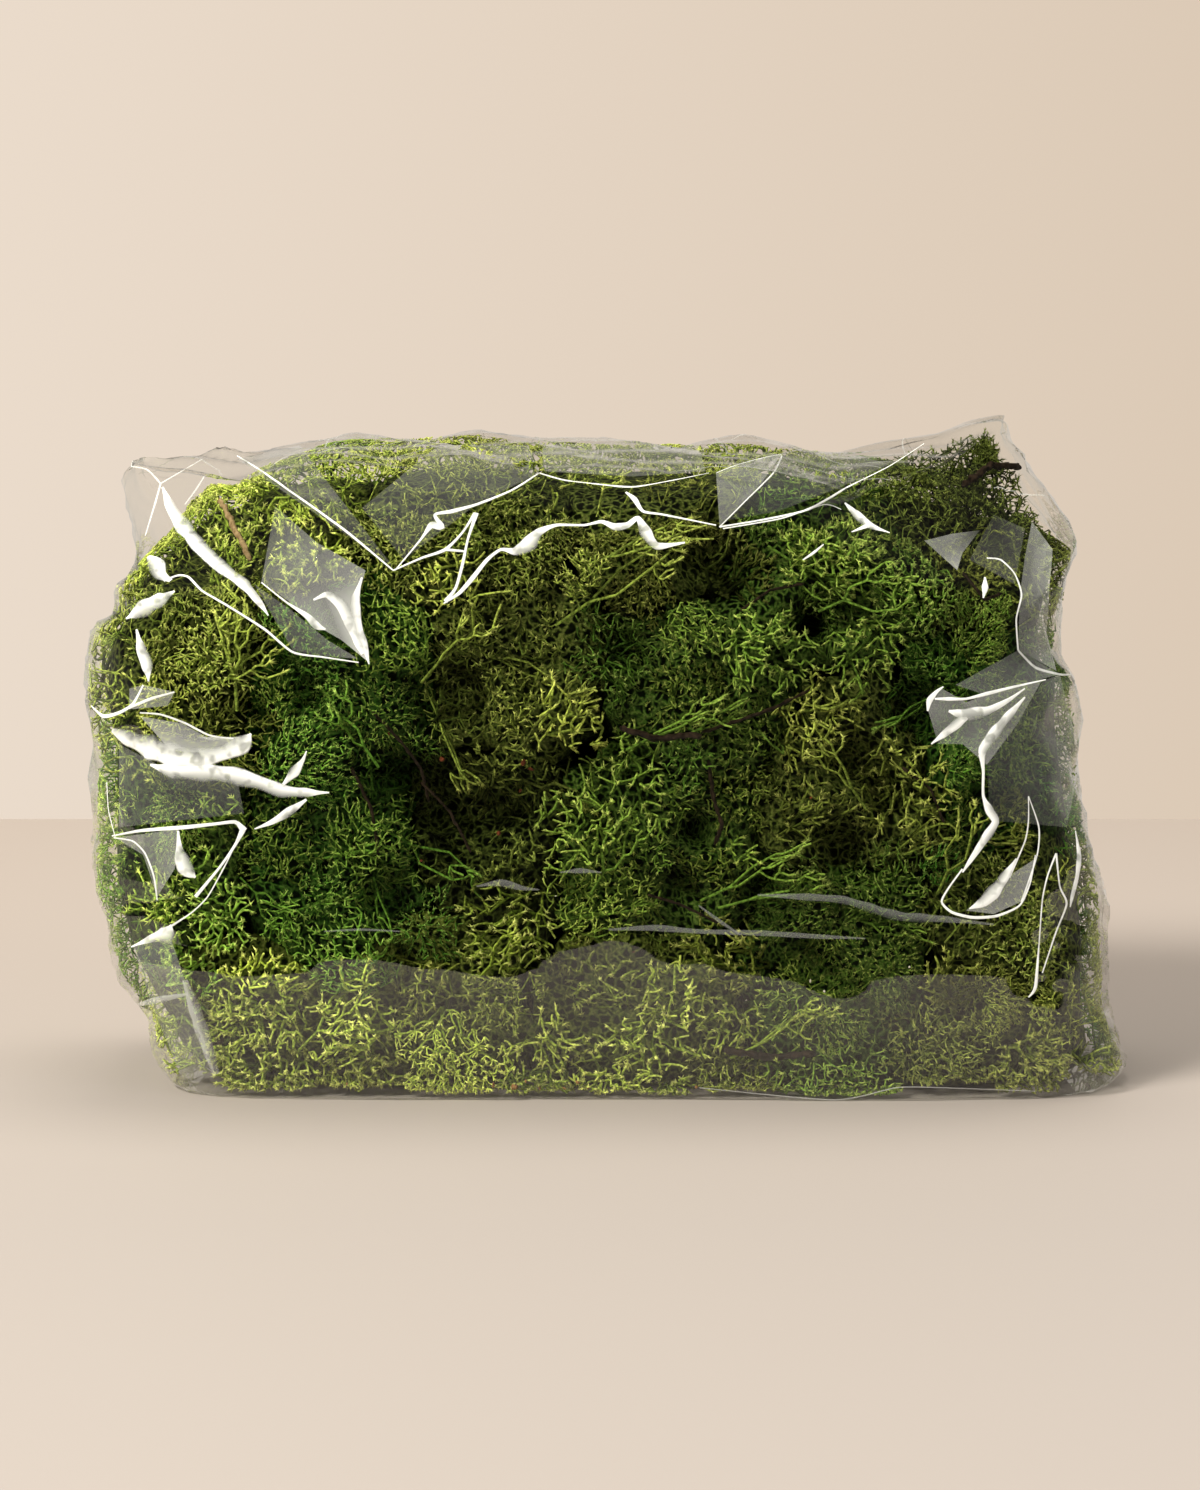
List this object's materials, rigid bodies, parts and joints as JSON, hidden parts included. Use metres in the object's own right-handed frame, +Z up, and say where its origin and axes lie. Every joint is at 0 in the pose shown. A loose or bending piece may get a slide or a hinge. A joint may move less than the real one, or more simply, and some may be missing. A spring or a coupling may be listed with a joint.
{
  "type": "reindeer moss clump in a clear film bag",
  "caption": "Tufts of preserved reindeer moss in several greens pressed together in a creased clear film bag that stands on its long edge.",
  "frame": {"origin": "on the ground, under the middle of the bag's outline", "axes": "+Z up, +X along the bag to the right as seen from the front, the front face towards -Y"},
  "size_m": [0.2982, 0.1146, 0.1994],
  "materials": {
    "clear_film": "clear, glossy and creased",
    "heather_bark": "rough bark",
    "moss_deep": "matte, soft and branching",
    "moss_emerald": "matte, soft and branching",
    "moss_green": "matte, soft and branching",
    "moss_olive": "matte, soft and branching",
    "moss_yellow_green": "matte, soft and branching",
    "straw": "dry and fibrous"
  },
  "bodies": {
    "root": {"film_bag": "clear_film", "heather_twig_base": "heather_bark", "heather_twig_middle": "heather_bark", "heather_twig_right": "heather_bark", "moss_tuft_01": "moss_olive", "moss_tuft_02": "moss_yellow_green", "moss_tuft_03": "moss_olive", "moss_tuft_04": "moss_olive", "moss_tuft_05": "moss_green", "moss_tuft_06": "moss_deep", "moss_tuft_07": "moss_emerald", "moss_tuft_08": "moss_olive", "moss_tuft_09": "moss_green", "moss_tuft_10": "moss_deep", "moss_tuft_11": "moss_green", "moss_tuft_12": "moss_olive", "moss_tuft_13": "moss_emerald", "moss_tuft_14": "moss_green", "moss_tuft_15": "moss_emerald", "moss_tuft_16": "moss_yellow_green", "moss_tuft_17": "moss_yellow_green", "moss_tuft_18": "moss_yellow_green", "moss_tuft_19": "moss_green", "moss_tuft_20": "moss_olive", "moss_tuft_21": "moss_olive", "moss_tuft_22": "moss_green", "moss_tuft_23": "moss_yellow_green", "moss_tuft_24": "moss_olive", "moss_tuft_25": "moss_emerald", "moss_tuft_26": "moss_olive", "moss_tuft_27": "moss_green", "moss_tuft_28": "moss_yellow_green", "moss_tuft_29": "moss_olive", "moss_tuft_30": "moss_emerald", "straw_left": "straw"}
  },
  "joints": []
}
